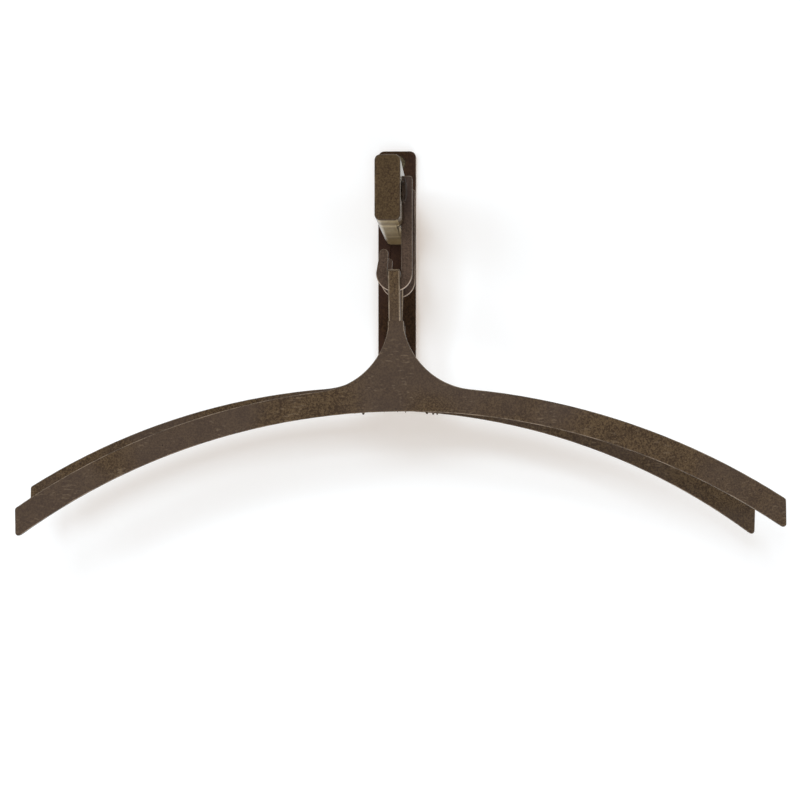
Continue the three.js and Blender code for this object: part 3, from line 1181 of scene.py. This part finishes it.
@dataclass
class Studio:
    """The white wall, the pale floor, the soft lamps and the camera.

    The focal length and the frame are in pixels. The sheets' sides, the floor's drop and the nearest
    and farthest that the camera sees are in metres.
    """

    camera_place: Triple = (40.8, -1181.0, -122.1)
    camera_yaw: float = 1.893
    focal: float = 1773.0
    frame_width: float = 800.0
    sensor: float = 36.0
    nearest: float = 0.05
    farthest: float = 50.0
    wall_size: float = 6.0
    wall_gap: float = 0.4
    wall_albedo: Colour = (0.73, 0.87, 0.99, 1)
    wall_glow: Colour = (0.31, 0.188, 0.083, 1)
    floor_size: float = 8.0
    floor_drop: float = 1.5
    floor_albedo: Colour = (0.8, 0.8, 0.8, 1)
    floor_glow: Colour = (0.4, 0.4, 0.4, 1)
    sky: float = 0.36

    def sheet(self, name: str, size: float) -> bpy.types.Object:
        """Makes a flat square that faces up.

        Args:
            name: Its name.
            size: Its side.

        Returns:
            The square.
        """
        work = bmesh.new()
        bmesh.ops.create_grid(work, x_segments=1, y_segments=1, size=size / 2)
        made = new_object(name, new_mesh(name, work))
        return made

    def white(self, name: str, albedo: Colour, glow: Colour, one_sided: bool) -> bpy.types.Material:
        """Makes the backdrop's paint, which keeps the rack's shadow and is white to the camera.

        Args:
            name: The material's name.
            albedo: How much light it sends back.
            glow: What is added for the camera and for reflections.
            one_sided: Whether it is clear from behind.

        Returns:
            The material.
        """
        made, graph = new_material(name)
        matt = graph.node("ShaderNodeBsdfDiffuse", None, {"Color": albedo})
        light = graph.node("ShaderNodeEmission", None, {"Color": glow, "Strength": graph.seen()})
        both = graph.node("ShaderNodeAddShader", None, {0: matt.outputs[0], 1: light.outputs[0]}).outputs[0]
        if one_sided:
            back = graph.node("ShaderNodeNewGeometry").outputs["Backfacing"]
            clear = graph.node("ShaderNodeBsdfTransparent")
            both = graph.node("ShaderNodeMixShader", None, {0: back, 1: both, 2: clear.outputs[0]}).outputs[0]
        graph.node("ShaderNodeOutputMaterial", None, {"Surface": both})
        return made

    def backdrop(self) -> None:
        """Makes the wall behind the plate and the floor far below."""
        wall = self.sheet("wall", self.wall_size)
        wall.data.transform(Matrix.Translation((0, self.wall_gap * MM, 0)) @ UPRIGHT)
        wall.data.materials.append(self.white("wall_paint", self.wall_albedo, self.wall_glow, True))
        wall.visible_shadow = False
        wall.visible_diffuse = False
        floor = self.sheet("floor", self.floor_size)
        floor.data.transform(Matrix.Translation((0, 0, -self.floor_drop)))
        floor.data.materials.append(self.white("floor_paint", self.floor_albedo, self.floor_glow, False))

    def world(self) -> None:
        """Makes an even sky that is white to the camera and in reflections."""
        made = bpy.data.worlds.new("studio")
        made.use_nodes = True
        graph = Graph(made.node_tree)
        strength = self.sky + graph.seen() * (1 - self.sky)
        sky = graph.node("ShaderNodeBackground", None, {"Color": (1, 1, 1, 1), "Strength": strength})
        graph.node("ShaderNodeOutputWorld", None, {"Surface": sky.outputs[0]})
        bpy.context.scene.world = made

    def camera(self) -> None:
        """Sets the camera where the photograph was taken from."""
        data = bpy.data.cameras.new("camera")
        data.sensor_width = self.sensor
        data.lens = self.focal / self.frame_width * self.sensor
        data.clip_start = self.nearest
        data.clip_end = self.farthest
        made = new_object("camera", data)
        made.location = Vector(self.camera_place) * MM
        made.rotation_euler = (math.pi / 2, 0, math.radians(self.camera_yaw))
        bpy.context.scene.camera = made

    def build(self) -> None:
        """Makes the backdrop, the light and the camera."""
        bpy.context.scene.view_settings.view_transform = "Standard"
        self.backdrop()
        self.world()
        for lamp in LAMPS:
            lamp.build()
        self.camera()


def main() -> None:
    """Builds the studio, the rack and the hangers in order."""
    logging.basicConfig(level=logging.INFO, format="%(name)s: %(message)s")
    for left in list(bpy.data.objects):
        bpy.data.objects.remove(left)
    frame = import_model()
    Studio().build()
    Rack().build(frame["nodes"])
    Hanger("front", hook_y=-127.0, turn=-0.4, tilt=-0.84, seed=3).build(frame["nodes"])
    Hanger("rear", hook_y=-59.0, turn=1.04, tilt=1.61, seed=11).build(frame["nodes"])


if __name__ == "__main__":
    main()
